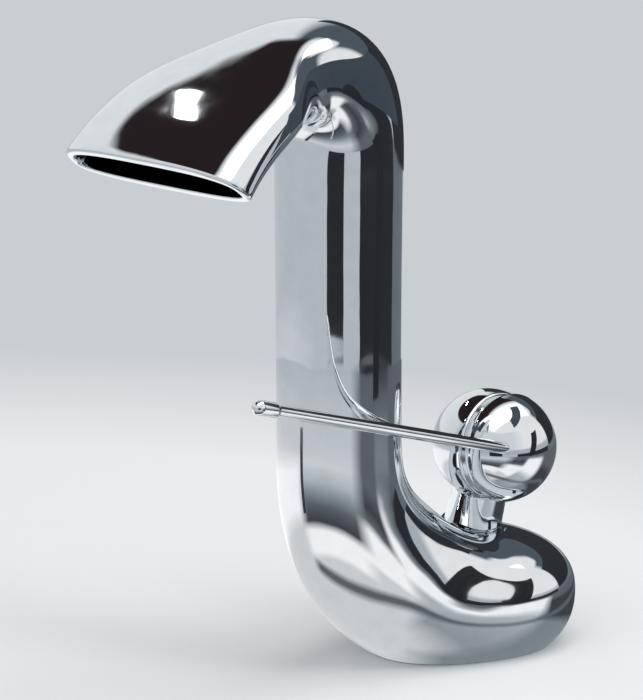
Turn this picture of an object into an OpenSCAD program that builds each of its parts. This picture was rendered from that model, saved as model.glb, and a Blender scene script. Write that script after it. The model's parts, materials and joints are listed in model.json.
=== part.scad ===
// Single-lever basin mixer: a cast spout rises from a round foot, bends over and
// widens into a flat sheet mouth; a side valve on a leaning neck carries a pin lever.
// All sizes in millimetres. Origin: centre of the deck hole, on the deck face.
// +Z is up, -Y points over the basin, +X is the handle side.
// The lever is drawn a little open; its closed and full-open ends are joint limits.

/* [Spout casting] */
// Column axis, forward of the deck-hole axis
column_offset = 62; // [60:0.5:68]
// Centre line at the crest, above the deck
crest_z = 204; // [195:1:235]
// Column radius at its foot
column_r = 20.3; // [19.5:0.1:21.5]
// Column radius under the top bend
column_top_r = 21; // [20:0.1:22]
// Bend radius of the heel centre line
heel_bend_r = 56; // [52:0.5:58]
// Bend radius of the centre line over the crest, column side
crest_bend_r = 26; // [24:0.5:30]
// Bend radius of the centre line from the crest down to the mouth
spout_bend_r = 72.5; // [70:0.5:82]
// Downward angle of the water at the mouth
mouth_angle = 50.5; // [46:0.5:56]
// Full width of the mouth
mouth_w = 78.5; // [74:0.5:84]
// Full width of the round foot
foot_w = 71; // [70:0.5:76]
// Foot length behind the deck-hole axis
foot_tail = 36; // [34.5:0.5:38]
// Wall of the casting round its waterway
body_wall = 3; // [2.6:0.1:3.4]

/* [Side valve] */
// Valve axis above the deck
valve_z = 68.5; // [68:0.5:74]
// Lean of the neck toward the handle side
neck_lean = 13; // [12:0.5:14]
// Neck diameter
neck_d = 19; // [18.6:0.2:20]
// Diameter of the round valve housing
housing_d = 36.4; // [36:0.2:37.4]
// Cartridge diameter
cartridge_d = 25; // [24.6:0.1:25.2]
// Water channel diameter in the neck
channel_d = 3.8; // [3.4:0.1:4]

/* [Handle] */
// Outer radius of the domed cap
cap_r = 18.4; // [18.2:0.1:19]
// Lever length from the stem axis to its tip
lever_length = 142; // [110:1:146]
// Lever rod diameter
lever_d = 4; // [3.6:0.1:4.6]
// Rise of the lever above the horizontal
lever_rise = 16.4; // [10:0.2:20]
// Opening of the lever in the drawn pose, in degrees from closed
drawn_opening = 4; // [0:0.5:12]
// Full lift of the lever from closed to open
lever_travel = 22; // [18:1:24]

/* [Deck fixing] */
// Deck hole diameter
deck_hole_d = 35; // [34:0.5:36]
// Deck thickness the clamp is drawn for
deck_t = 20; // [8:1:35]
// Length of the fixing stud below the deck face
stud_drop = 62; // [58:1:75]

/* [Hidden] */
$fn = 96;
bite = 0.5;

// Casting heights over and depths under its centre line, and half widths between the named ones
foot_axis_z = 17.5;
foot_top = 22;
foot_under = 25.5;
heel_half_w = 24.5;
heel_top = 27;
heel_under = 23;
bend_half_w = 22.6;
bend_top = 22.6;
bend_under = 19;
crest_half_w = 20.9;
crest_top = 15.5;
crest_under = 16;
spread_half_w = mouth_w * 0.45;
spread_top = 9.8;
spread_under = 12;
mouth_top = 11.2;
mouth_under = 8;

// Centre line of the casting, by travelled length: foot, heel, column, crest bend, spout bend
len_foot = column_offset - heel_bend_r;
len_heel = heel_bend_r * PI / 2;
len_column = crest_z - foot_axis_z - heel_bend_r - crest_bend_r;
len_crest = crest_bend_r * PI / 2;
len_spout = spout_bend_r * mouth_angle * PI / 180;
end_foot = len_foot;
end_heel = end_foot + len_heel;
end_column = end_heel + len_column;
end_crest = end_column + len_crest;
end_spout = end_crest + len_spout;

// Place and direction on the centre line: [y, z, angle], 0 = forward, 90 = up, negative = down
function on_line(s) =
    s < end_foot ? [-s, foot_axis_z, 0]
    : s < end_heel ? let (a = (s - end_foot) / heel_bend_r * 180 / PI)
        [-len_foot - heel_bend_r * sin(a), foot_axis_z + heel_bend_r * (1 - cos(a)), a]
    : s < end_column ? [-column_offset, foot_axis_z + heel_bend_r + s - end_heel, 90]
    : s < end_crest ? let (a = (s - end_column) / crest_bend_r * 180 / PI)
        [-column_offset - crest_bend_r * (1 - cos(a)), crest_z - crest_bend_r * (1 - sin(a)), 90 - a]
    : let (a = (s - end_crest) / spout_bend_r * 180 / PI)
        [-column_offset - crest_bend_r - spout_bend_r * sin(a), crest_z - spout_bend_r * (1 - cos(a)), -a];

// Section stations: [length, half width, height over the line, depth under the line, fullness]
stations = [
    [-foot_tail, foot_w / 2, foot_top, foot_under, 2.3],
    [0, foot_w / 2, foot_top, foot_under, 2.3],
    [end_foot + len_heel * 0.45, heel_half_w, heel_top, heel_under, 2.1],
    [end_heel + len_column * 0.05, column_r, column_r, column_r, 2],
    [end_column, column_top_r, column_top_r, column_top_r, 2],
    [end_column + len_crest / 2, bend_half_w, bend_top, bend_under, 2.1],
    [end_crest, crest_half_w, crest_top, crest_under, 2.3],
    [end_crest + len_spout / 2, spread_half_w, spread_top, spread_under, 2.8],
    [end_spout, mouth_w / 2, mouth_top, mouth_under, 3]];
last = len(stations) - 1;

function rate(i, c) = (stations[i + 1][c] - stations[i][c]) / (stations[i + 1][0] - stations[i][0]);
function slope(i, c) =
    i == 0 ? rate(0, c)
    : i == last ? rate(last - 1, c)
    : let (p = rate(i - 1, c), q = rate(i, c)) p * q <= 0 ? 0 : 2 * p * q / (p + q);
function span_of(s, i = 0) = i >= last - 1 || s < stations[i + 1][0] ? i : span_of(s, i + 1);
// Smooth section sizes at a length s, never past a station's own value
function section(s) =
    let (i = span_of(s), h = stations[i + 1][0] - stations[i][0],
         t = min(1, max(0, (s - stations[i][0]) / h)))
    [for (c = [1:4])
        (2 * t * t * t - 3 * t * t + 1) * stations[i][c] + (t * t * t - 2 * t * t + t) * h * slope(i, c)
        + (3 * t * t - 2 * t * t * t) * stations[i + 1][c] + (t * t * t - t * t) * h * slope(i + 1, c)];

function bend(v, p) = sign(v) * pow(abs(v), 2 / p);
// One ring of the casting at length s: inset from the outer face, closed by a factor at the ends
function ring(s, count, inset = 0, close = 1) =
    let (p = on_line(s), z = section(s), ny = sin(p[2]), nz = cos(p[2]))
    [for (i = [0:count - 1])
        let (a = i * 360 / count,
             x = (z[0] - inset) * close * bend(cos(a), z[3]),
             n = ((sin(a) >= 0 ? z[1] : z[2]) - inset) * close * bend(sin(a), z[3]))
        [x, p[0] + ny * n, p[1] + nz * n]];

// Rings of the whole skin in order: outside from the tail to the mouth, over the lip, back inside
around = 44;
water_start = end_foot + len_heel * 0.26;
lip_round = 1.4;
water_dome = 7;
water_floor = 5;
outer_rings = concat(
    [for (k = [0:7]) let (a = 90 * k / 7) ring(-foot_tail * cos(a), around, 0, max(0.03, sin(a)))],
    [for (k = [1:2]) ring(end_foot * k / 2, around)],
    [for (k = [1:12]) ring(end_foot + len_heel * k / 12, around)],
    [for (k = [1:4]) ring(end_heel + len_column * k / 4, around)],
    [for (k = [1:9]) ring(end_column + len_crest * k / 9, around)],
    [for (k = [1:9]) ring(end_crest + (len_spout - lip_round) * k / 9, around)],
    [ring(end_spout - lip_round * 0.3, around, lip_round * 0.3), ring(end_spout, around, lip_round)]);
inner_rings = [for (r = concat(
    [ring(end_spout, around, body_wall)],
    [for (k = [7:-1:1]) ring(end_crest + len_spout * k / 8, around, body_wall)],
    [for (k = [7:-1:0]) ring(end_column + len_crest * k / 7, around, body_wall)],
    [for (k = [2:-1:0]) ring(end_heel + len_column * k / 3, around, body_wall)],
    [for (k = [7:-1:0]) ring(water_start + (end_heel - water_start) * k / 8, around, body_wall)],
    [for (k = [1:4]) let (a = 90 * k / 4)
        ring(water_start - water_dome * sin(a), around, body_wall, max(0.03, cos(a)))]))
    [for (p = r) [p[0], p[1], max(p[2], water_floor)]]];

module skin(rings) {
    n = len(rings);
    m = len(rings[0]);
    polyhedron(
        points = [for (r = rings) each r],
        faces = concat(
            [[for (i = [0:m - 1]) i]],
            [for (k = [0:n - 2], i = [0:m - 1], t = [0, 1]) let (j = (i + 1) % m)
                t == 0 ? [k * m + i, (k + 1) * m + i, (k + 1) * m + j]
                    : [k * m + i, (k + 1) * m + j, k * m + j]],
            [[for (i = [m - 1:-1:0]) (n - 1) * m + i]]));
}

// Side valve layout: the valve axis runs along X at height valve_z
housing_x = 8.5;
pivot_x = 14.5;
seat_x = 3;
shoulder_x = 13;
cap_wall = 1.5;
shell_gap = 0.35;
nose_r = cap_r - cap_wall - shell_gap;
bore_reach = 20;
thread_r = 14;
thread_x = 12;
housing_end_x = 17;
nut_face_x = 21;
cap_rim_angle = 80;
hub_r = 7.4;
hub_h = 9.3;
lever_h = 11.5;
slip = 0.15;
// Radial clearance of screwed and pressed seats
fit = 0.02;
half_travel = lever_travel / 2;
stem_tilt = drawn_opening - half_travel;

// Neck and spigot heights, measured down the leaning neck axis from the housing centre
spot_face_z = 38;
spigot_foot_z = 19.5;
neck_foot = (valve_z - spot_face_z) / cos(neck_lean);
spigot_end = (valve_z - spigot_foot_z) / cos(neck_lean);
spigot_r = neck_d / 2 - 1;
ring_cord = 1.6;
seal_up = neck_foot + 2.4;
waist_top = seal_up + 2;
waist_len = 4.4;
seal_low = waist_top + waist_len + 2;
groove_at = spigot_end - 3.4;
outlet_at = waist_top + waist_len / 2;
channel_r = channel_d / 2;
riser_r = channel_r - 0.2;
inlet_v = 4.6;
row_u = -3;
spigot_u = -1.2;
port_ring_r = 6.2;
port_angle = 30;
channel_x = -2.6;

// Valve axis frame: local z runs along +X from the centre plane of the faucet
module at_valve() translate([0, 0, valve_z]) rotate([0, 90, 0]) children();
// Neck frame: origin at the housing centre, local z up the neck
module at_neck() translate([housing_x, 0, valve_z]) rotate([0, neck_lean, 0]) children();
// Turning frame at the tilt pivot: local z along +X, local x along the lever's radial direction
module at_pivot() translate([pivot_x, 0, valve_z]) rotate([-90 - lever_rise, 0, 0])
    rotate([0, 90, 0]) children();
// Handle frame: the turning frame tipped by the stem angle
module at_handle() at_pivot() rotate([0, -stem_tilt, 0]) children();

module ring_band(r_out, r_in, z0, z1) translate([0, 0, z0]) difference() {
    cylinder(r = r_out, h = z1 - z0);
    translate([0, 0, -bite]) cylinder(r = r_in, h = z1 - z0 + 2 * bite);
}
module o_ring(r_mid, cord, z) translate([0, 0, z]) rotate_extrude()
    translate([r_mid, 0]) circle(d = cord, $fn = 32);
// Round channel between two points
module channel(a, b, r) {
    d = b - a;
    l = norm(d);
    translate(a) rotate([0, acos(d[2] / l), atan2(d[1], d[0])]) cylinder(r = r, h = l, $fn = 48);
}
function neck_point(u, v, w) = [housing_x + u * cos(neck_lean) + w * sin(neck_lean), v,
    valve_z - u * sin(neck_lean) + w * cos(neck_lean)];

// Foot and manifold layout
recess_r = deck_hole_d / 2 - 0.5;
recess_h = 14;
manifold_r = recess_r - 0.2;
port_x = -7;
port_y = 7.5;
port_r = 4.5;
port_deep = 8;
stud_x = 9;
stud_r = 4;
stud_in = 9;
screw_x = 7;
screw_y = 10.5;
screw_r = 2;
screw_head_r = 3.5;
screw_head_h = 2.6;
screw_len = 22;
screw_sunk = 0.4;
screw_key_deep = 1.6;
gasket_in = 19;
gasket_out = 23;
gasket_h = 1.6;
socket_r = spigot_r + slip;
collar_r = neck_d / 2 + 1.7;
collar_h = 2.2;
grub_r = 2.5;
grub_len = 10;
grub_tip = spigot_r - 0.9;
cut_reach = 60;
socket_clear = 9;
socket_end = spigot_end + socket_clear;
spot_face_h = 14;
mix_hole_r = 3.2;
mix_hole_len = 32;
grub_hole_len = 50;
screw_hole_deep = 9;
key_r = 1.4;
key_deep = 3;

module spout_body() color([0.82, 0.84, 0.86]) difference() {
    skin(concat(outer_rings, inner_rings));
    // flat foot on the deck
    translate([-cut_reach, -cut_reach, -cut_reach]) cube([2 * cut_reach, 2 * cut_reach, cut_reach]);
    // manifold recess and gasket groove
    translate([0, 0, -bite]) cylinder(r = recess_r, h = recess_h + bite);
    difference() {
        translate([0, 0, -bite]) cylinder(r = gasket_out, h = gasket_h + bite);
        translate([0, 0, -2 * bite]) cylinder(r = gasket_in, h = gasket_h + 4 * bite);
    }
    // leaning socket for the valve spigot, with a spot face for the collar
    at_neck() {
        translate([0, 0, -socket_end]) cylinder(r = socket_r, h = socket_end - neck_foot + bite);
        translate([0, 0, -neck_foot]) cylinder(r = collar_r + 0.1, h = spot_face_h);
    }
    // mixed water hole from the socket to the waterway
    translate(neck_point(0, 0, -outlet_at)) rotate([90, 0, 0])
        cylinder(r = mix_hole_r, h = mix_hole_len, $fn = 48);
    // threaded hole of the set screw that holds the spigot
    translate(neck_point(0, 0, -groove_at)) rotate([-90, 0, 0])
        cylinder(r = grub_r + fit, h = grub_hole_len, $fn = 48);
    // blind threaded holes of the manifold screws
    for (s = [-1, 1]) translate([screw_x, s * screw_y, recess_h - bite])
        cylinder(r = screw_r + fit, h = screw_hole_deep + bite, $fn = 48);
}

module inlet_manifold() color([0.78, 0.62, 0.32]) difference() {
    cylinder(r = manifold_r, h = recess_h);
    for (s = [-1, 1]) {
        // hose port, and the slanting socket of the transfer tube above it
        translate([port_x, s * port_y, -bite]) cylinder(r = port_r, h = port_deep + bite);
        translate(neck_point(spigot_u, s * inlet_v, -tube_end)) rotate([0, neck_lean, 0]) {
            cylinder(r = tube_r + 0.05, h = recess_h + 6, $fn = 48);
            translate([0, 0, tube_seal_w - ring_cord / 2 - 0.1])
                cylinder(r = tube_seal_r, h = recess_h + 6, $fn = 48);
            translate([0, 0, -1.5]) cylinder(r = channel_r, h = 1.5 + bite, $fn = 48);
        }
        // screw hole with its head recess
        translate([screw_x, s * screw_y, -bite]) {
            cylinder(r = screw_r + 0.2, h = recess_h + 2 * bite, $fn = 48);
            cylinder(r = screw_head_r + 0.2, h = screw_head_h + screw_sunk + bite, $fn = 48);
        }
    }
    translate([stud_x, 0, -bite]) cylinder(r = stud_r + fit, h = stud_in + bite);
}

module manifold_screws() color([0.72, 0.73, 0.75])
    for (s = [-1, 1]) translate([screw_x, s * screw_y, screw_sunk]) difference() {
        union() {
            cylinder(r = screw_head_r, h = screw_head_h, $fn = 48);
            cylinder(r = screw_r, h = screw_len - screw_sunk, $fn = 48);
        }
        translate([0, 0, -bite]) cylinder(r = key_r, h = screw_key_deep + bite, $fn = 6);
    }

// Transfer tubes from the manifold into the spigot, brazed at the top
tube_r = 2.6;
tube_bore_r = 1.8;
tube_in = 6;
tube_end = (valve_z - recess_h) / cos(neck_lean) + 5.5;
tube_seal_w = 4;
tube_seal_r = tube_r + ring_cord;
module transfer_tube(v) color([0.80, 0.50, 0.32]) at_neck()
    translate([spigot_u, v, 0]) ring_band(tube_r, tube_bore_r, -tube_end, -spigot_end + tube_in, $fn = 48);
module hot_tube() transfer_tube(-inlet_v);
module cold_tube() transfer_tube(inlet_v);
module tube_seals() color([0.13, 0.13, 0.14]) at_neck()
    for (s = [-1, 1]) translate([spigot_u, s * inlet_v, 0])
        o_ring(tube_r + ring_cord / 2, ring_cord, -tube_end + tube_seal_w);

module base_gasket() color([0.15, 0.15, 0.16]) ring_band(gasket_out - 0.1, gasket_in + 0.1, 0, gasket_h);

// Deck fixing: stud, horseshoe seal and plate, long nut
clamp_r = deck_hole_d / 2 + 6.5;
clamp_bay_r = 13.7;
clamp_bay_x = -11;
seal_t = 3;
plate_t = 2;
nut_h = 14;
nut_flange_h = 1.6;
nut_flange_r = 8;
nut_flats = 11;
module fixing_stud() color([0.74, 0.75, 0.77])
    translate([stud_x, 0, -stud_drop]) cylinder(r = stud_r, h = stud_drop + stud_in - 0.5);
module horseshoe(t, z) translate([0, 0, z - t]) difference() {
    cylinder(r = clamp_r, h = t);
    translate([clamp_bay_x, 0, -bite]) cylinder(r = clamp_bay_r, h = t + 2 * bite);
    translate([-clamp_r - bite, -clamp_bay_r * 0.7, -bite])
        cube([clamp_r + bite + clamp_bay_x, clamp_bay_r * 1.4, t + 2 * bite]);
    translate([stud_x, 0, -bite]) cylinder(r = stud_r + 0.3, h = t + 2 * bite);
}
module clamp_seal() color([0.15, 0.15, 0.16]) horseshoe(seal_t, -deck_t);
module clamp_plate() color([0.72, 0.73, 0.75]) horseshoe(plate_t, -deck_t - seal_t);
module clamp_nut() color([0.78, 0.62, 0.32]) translate([stud_x, 0, -deck_t - seal_t - plate_t]) difference() {
    union() {
        translate([0, 0, -nut_flange_h]) cylinder(r = nut_flange_r, h = nut_flange_h);
        translate([0, 0, -nut_h]) cylinder(d = nut_flats / cos(30), h = nut_h, $fn = 6);
    }
    translate([0, 0, -nut_h - bite]) cylinder(r = stud_r + fit, h = nut_h + 2 * bite);
}

// Valve housing: round shell, spherical nose, neck and ported spigot in one casting
module spigot_groove(r_bottom, w_top, w_len) translate([0, 0, -w_top - w_len])
    difference() {
        cylinder(r = spigot_r + bite, h = w_len);
        translate([0, 0, -bite]) cylinder(r = r_bottom, h = w_len + 2 * bite);
    }
module valve_housing() color([0.82, 0.84, 0.86]) difference() {
    union() {
        at_valve() rotate_extrude() {
            intersection() {
                translate([0, housing_x]) circle(d = housing_d);
                translate([0, housing_x - housing_d]) square([housing_d, housing_d + shoulder_x - housing_x]);
            }
            intersection() {
                translate([0, pivot_x]) circle(r = nose_r);
                translate([0, shoulder_x - 1]) square([housing_d, housing_end_x - shoulder_x + 1]);
            }
        }
        at_neck() translate([0, 0, -neck_foot]) cylinder(d = neck_d, h = neck_foot - housing_d / 2 + 2);
        at_neck() translate([0, 0, -spigot_end]) cylinder(r = spigot_r, h = spigot_end - neck_foot + bite);
    }
    // cartridge bore and nut thread
    at_valve() translate([0, 0, seat_x]) cylinder(d = cartridge_d + 2 * slip, h = bore_reach);
    at_valve() translate([0, 0, thread_x - 0.5]) cylinder(r = thread_r, h = bore_reach);
    at_neck() {
        spigot_groove(spigot_r - ring_cord * 0.8, seal_up, 2);
        spigot_groove(spigot_r - ring_cord * 0.8, seal_low - 2, 2);
        spigot_groove(spigot_r - 1, waist_top + 0.2, waist_len - 0.4);
        spigot_groove(grub_tip, groove_at - 2.7, 5.4);
        for (s = [-1, 1]) {
            // tube socket and the two inlet channels
            translate([spigot_u, s * inlet_v, -spigot_end - bite]) {
                cylinder(r = tube_r + fit, h = tube_in + bite, $fn = 48);
                cylinder(r = channel_r, h = spigot_end - neck_foot + 4, $fn = 48);
            }
            translate([row_u, s * inlet_v, -neck_foot])
                cylinder(r = channel_r, h = neck_foot - rise_from, $fn = 48);
        }
        // outlet channel and its cross hole into the waist
        translate([row_u, 0, -outlet_at]) {
            cylinder(r = channel_r, h = outlet_at - rise_from, $fn = 48);
            rotate([0, -90, 0]) cylinder(r = riser_r, h = spigot_r, $fn = 48);
        }
    }
    // risers behind the cartridge seat, and the port drillings through the seat
    for (k = [-1, 0, 1]) {
        channel(neck_point(row_u, k * inlet_v, -rise_from - 2), port_point(k), riser_r);
        channel(port_point(k) - [riser_r, 0, 0], [seat_x + bite, port_point(k)[1], port_point(k)[2]],
            channel_r);
    }
}
// Where the channels rise out of the row in the neck, below the housing centre
rise_from = 18.5;
// Ports at the cartridge seat: -1 hot, 1 cold, 0 mixed water
function port_point(k) = k == 0 ? [channel_x - 0.6, 0, valve_z + port_ring_r]
    : [channel_x, k * port_ring_r * cos(port_angle), valve_z - port_ring_r * sin(port_angle)];
module spigot_seals() color([0.13, 0.13, 0.14]) at_neck()
    for (w = [seal_up + 1, seal_low - 1]) o_ring(spigot_r + slip - ring_cord / 2, ring_cord, -w);
module neck_collar() color([0.84, 0.86, 0.88]) at_neck() rotate_extrude() translate([0, -neck_foot])
    polygon([[neck_d / 2, 0], [collar_r, 0], [collar_r, collar_h - 0.8], [collar_r - 0.8, collar_h],
        [neck_d / 2, collar_h]]);
module valve_grub_screw() color([0.40, 0.41, 0.43])
    translate(neck_point(0, 0, -groove_at)) rotate([-90, 0, 0]) translate([0, 0, grub_tip]) difference() {
        cylinder(r = grub_r, h = grub_len, $fn = 48);
        translate([0, 0, grub_len - key_deep]) cylinder(r = key_r, h = key_deep + bite, $fn = 6);
    }

// Ceramic cartridge, drawn along the valve axis from its seat outward
base_r = cartridge_d / 2 - 0.1;
base_x = seat_x;
fixed_x = 5.5;
moving_x = 7.5;
carrier_x = 9.5;
carrier_end_x = 11.2;
well_end_x = 11.5;
neck_end_x = 18;
disc_arm = 3.6;
ball_r = 1.2;
well_r = 10.2;
shell_neck_r = 11;
rotor_r = 8.8;
rotor_end_x = 17.5;
stem_r = 3;
stem_end_h = 16;
pin_r = 1.2;
pin_half = 8;
fixed_r = 9.6;
moving_r = 7.2;
flat_v = 6.8;
seal_ring_r = 2.9;
disc_shift = disc_arm * sin(stem_tilt);

// Round holes at the three port places, along the valve axis
module port_holes(r, z0, z1) at_valve() for (k = [-1, 0, 1])
    translate([k == 0 ? -port_ring_r : port_ring_r * sin(port_angle), k * port_ring_r * cos(port_angle), z0])
        cylinder(r = r, h = z1 - z0, $fn = 48);
module cartridge_base() color([0.90, 0.90, 0.88]) difference() {
    at_valve() translate([0, 0, base_x]) cylinder(r = base_r, h = fixed_x - base_x);
    port_holes(channel_r, base_x - bite, fixed_x + bite);
    port_holes(seal_ring_r, base_x - bite, base_x + 1.3);
}
module port_seals() color([0.16, 0.16, 0.17]) difference() {
    port_holes(seal_ring_r - 0.05, base_x, base_x + 1.3);
    port_holes(channel_r, base_x - bite, base_x + 2);
}
module fixed_disc() color([0.95, 0.94, 0.90]) difference() {
    at_valve() translate([0, 0, fixed_x]) cylinder(r = fixed_r, h = moving_x - fixed_x);
    port_holes(channel_r, fixed_x - bite, moving_x + bite);
}
// The moving disc has a blind mixing pocket; it turns and slides with its carrier
module at_disc() at_pivot() translate([disc_shift, 0, -pivot_x]) children();
module moving_disc() color([0.96, 0.95, 0.92]) at_disc() difference() {
    translate([0, 0, moving_x]) cylinder(r = moving_r, h = carrier_x - moving_x);
    translate([0, 0, moving_x - bite]) cylinder(r = moving_r - 2.4, h = 1.2 + bite);
}
module disc_carrier() color([0.25, 0.45, 0.70]) at_disc() difference() {
    intersection() {
        translate([0, 0, carrier_x]) cylinder(r = moving_r + 0.4, h = carrier_end_x - carrier_x);
        translate([-moving_r - 1, -flat_v, carrier_x])
            cube([2 * moving_r + 2, 2 * flat_v, carrier_end_x - carrier_x]);
    }
    translate([0, 0, carrier_x - bite])
        cylinder(r = ball_r + 0.05, h = carrier_end_x - carrier_x + 2 * bite, $fn = 48);
}
module cartridge_shell() color([0.88, 0.88, 0.86]) at_valve() difference() {
    union() {
        translate([0, 0, fixed_x]) cylinder(d = cartridge_d, h = thread_x - fixed_x);
        translate([0, 0, thread_x - bite]) cylinder(r = shell_neck_r, h = neck_end_x - thread_x + bite);
    }
    translate([0, 0, fixed_x - bite]) cylinder(r = well_r, h = well_end_x - fixed_x + bite);
    translate([0, 0, well_end_x - bite]) cylinder(r = rotor_r + 0.35, h = neck_end_x);
}
// Rotor: turns in the shell neck, carries the pivot pin, drives the carrier with two lugs
rotor_x = well_end_x + 0.1;
rotor_seal_x = 16.2;
slot_half = 5;
lug_half = 3;
lug_t = 1.8;
module cartridge_rotor() color([0.22, 0.22, 0.24]) at_pivot() translate([0, 0, -pivot_x]) difference() {
    union() {
        translate([0, 0, rotor_x]) cylinder(r = rotor_r, h = rotor_end_x - rotor_x);
        intersection() {
            translate([0, 0, carrier_x + 0.2]) cylinder(r = rotor_r, h = rotor_x - carrier_x);
            for (s = [-1, 1]) translate([-lug_half, s * (flat_v + slip + lug_t / 2) - lug_t / 2, carrier_x])
                cube([2 * lug_half, lug_t, rotor_x - carrier_x + bite]);
        }
    }
    translate([-slot_half, -stem_r - slip, rotor_x - bite])
        cube([2 * slot_half, 2 * (stem_r + slip), rotor_end_x]);
    translate([0, pin_half, pivot_x]) rotate([90, 0, 0])
            cylinder(r = pin_r + fit, h = 2 * pin_half, $fn = 48);
    translate([0, 0, rotor_seal_x - 0.8]) ring_band(rotor_r + bite, rotor_r - 1, 0, 1.6);
}
module rotor_seal() color([0.13, 0.13, 0.14]) at_valve() o_ring(rotor_r - 0.35, 1.3, rotor_seal_x);
module stem_pin() color([0.74, 0.75, 0.77]) at_pivot() translate([0, pin_half - 0.2, 0]) rotate([90, 0, 0])
    cylinder(r = pin_r, h = 2 * pin_half - 0.4, $fn = 48);
module cartridge_stem() color([0.80, 0.66, 0.36]) at_handle() difference() {
    union() {
        translate([0, 0, -2.4]) cylinder(r = stem_r, h = stem_end_h + 2.4);
        translate([0, 0, -disc_arm]) cylinder(r = ball_r * 0.7, h = 2, $fn = 48);
        translate([0, 0, -disc_arm]) sphere(r = ball_r, $fn = 48);
    }
    translate([0, pin_half, 0]) rotate([90, 0, 0]) cylinder(r = pin_r + 0.05, h = 2 * pin_half, $fn = 48);
}

// Domed nut: threaded into the housing, its spherical face carries on the nose
nut_hole_r = 7.5;
module retaining_nut() color([0.84, 0.86, 0.88]) at_valve() rotate_extrude() difference() {
    union() {
        translate([0, thread_x]) square([thread_r - fit, housing_end_x - thread_x + bite]);
        intersection() {
            translate([0, pivot_x]) circle(r = nose_r);
            translate([0, housing_end_x]) square([nose_r, nut_face_x - housing_end_x]);
        }
    }
    translate([-bite, thread_x - bite]) square([shell_neck_r + 0.2 + bite, neck_end_x + 0.8 - thread_x + bite]);
    translate([-bite, thread_x]) square([nut_hole_r + bite, nut_face_x]);
}

// Handle: a spherical cap round the tilt pivot, with a hub clamped to the stem by the lever's end
module lever_line() at_handle() translate([0, 0, lever_h]) rotate([0, 90 - half_travel, 0]) children();
module handle_cap() color([0.84, 0.86, 0.88]) difference() {
    at_handle() difference() {
        union() {
            intersection() {
                difference() {
                    sphere(r = cap_r);
                    sphere(r = cap_r - cap_wall);
                }
                translate([0, 0, cap_r * cos(cap_rim_angle)]) cylinder(r = cap_r + 1, h = cap_r);
            }
            intersection() {
                translate([0, 0, hub_h]) cylinder(r = hub_r, h = cap_r - hub_h);
                sphere(r = cap_r - cap_wall / 2);
            }
        }
        translate([0, 0, hub_h - bite]) cylinder(r = stem_r + fit, h = stem_end_h - hub_h + bite);
    }
    lever_line() cylinder(d = lever_d + 2 * fit, h = 2 * cap_r);
}
tip_r = 2.6;
tip_len = 11;
// The slanting inner end of the lever stops at the flank of the stem
lever_start = (stem_r + lever_d / 2 * sin(half_travel)) / cos(half_travel) + 0.05;
module lever_pin() color([0.84, 0.86, 0.88]) lever_line() {
    translate([0, 0, lever_start]) cylinder(d = lever_d, h = lever_length - tip_len - lever_start);
    rotate_extrude($fn = 48) polygon([
        [0, lever_length - tip_len - bite], [lever_d / 2, lever_length - tip_len - bite],
        [lever_d / 2, lever_length - tip_len], [tip_r, lever_length - tip_len + 1.6],
        [tip_r, lever_length - 2.4], [tip_r * 0.8, lever_length - 0.8], [tip_r * 0.4, lever_length], [0, lever_length]]);
}

spout_body();
inlet_manifold();
manifold_screws();
hot_tube();
cold_tube();
tube_seals();
base_gasket();
fixing_stud();
clamp_seal();
clamp_plate();
clamp_nut();
valve_housing();
spigot_seals();
neck_collar();
valve_grub_screw();
cartridge_base();
port_seals();
fixed_disc();
moving_disc();
disc_carrier();
cartridge_shell();
cartridge_rotor();
rotor_seal();
stem_pin();
cartridge_stem();
retaining_nut();
handle_cap();
lever_pin();
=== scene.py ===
# %% [markdown]
# # A chrome basin mixer in Blender
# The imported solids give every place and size. This lesson dresses them: the cast spout becomes one
# smooth sweep, the turned pieces become lathe forms, threads are grown with Geometry Nodes, and each
# real material gets its own node network.

import json
import math

import bmesh
import bpy
from mathutils import Matrix, Quaternion, Vector


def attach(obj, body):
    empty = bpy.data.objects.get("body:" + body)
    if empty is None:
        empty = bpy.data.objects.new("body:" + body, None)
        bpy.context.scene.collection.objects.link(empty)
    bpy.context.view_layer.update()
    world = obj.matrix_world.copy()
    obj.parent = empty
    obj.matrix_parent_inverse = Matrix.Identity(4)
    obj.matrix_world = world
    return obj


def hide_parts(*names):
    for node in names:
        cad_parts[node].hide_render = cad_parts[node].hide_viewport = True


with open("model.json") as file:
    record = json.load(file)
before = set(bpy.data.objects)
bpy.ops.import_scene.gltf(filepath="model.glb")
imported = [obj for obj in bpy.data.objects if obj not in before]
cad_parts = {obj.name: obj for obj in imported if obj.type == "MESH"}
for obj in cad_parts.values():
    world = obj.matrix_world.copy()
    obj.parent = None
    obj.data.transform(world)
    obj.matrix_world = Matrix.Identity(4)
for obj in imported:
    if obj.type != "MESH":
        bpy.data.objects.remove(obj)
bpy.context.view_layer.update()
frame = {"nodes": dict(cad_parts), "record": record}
MM = 0.001
print("pieces in the frame:", len(frame["nodes"]))

# %% [markdown]
# ## Camera
# A long lens stands well back, so the mixer keeps nearly parallel edges. The target point is given
# by its distance across and up the picture from the frame's origin, in the middle under the foot.

# %% Camera
VIEW_AZIMUTH = math.radians(44)
VIEW_HEIGHT = math.radians(13)
VIEW_DISTANCE = 2333 * MM
PICTURE_WIDTH = 643
FOCAL_PIXELS = 7000
SENSOR = 36.0
CLIP_END = 20
ACROSS = -48.67 * MM
UP = 96.17 * MM

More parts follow.
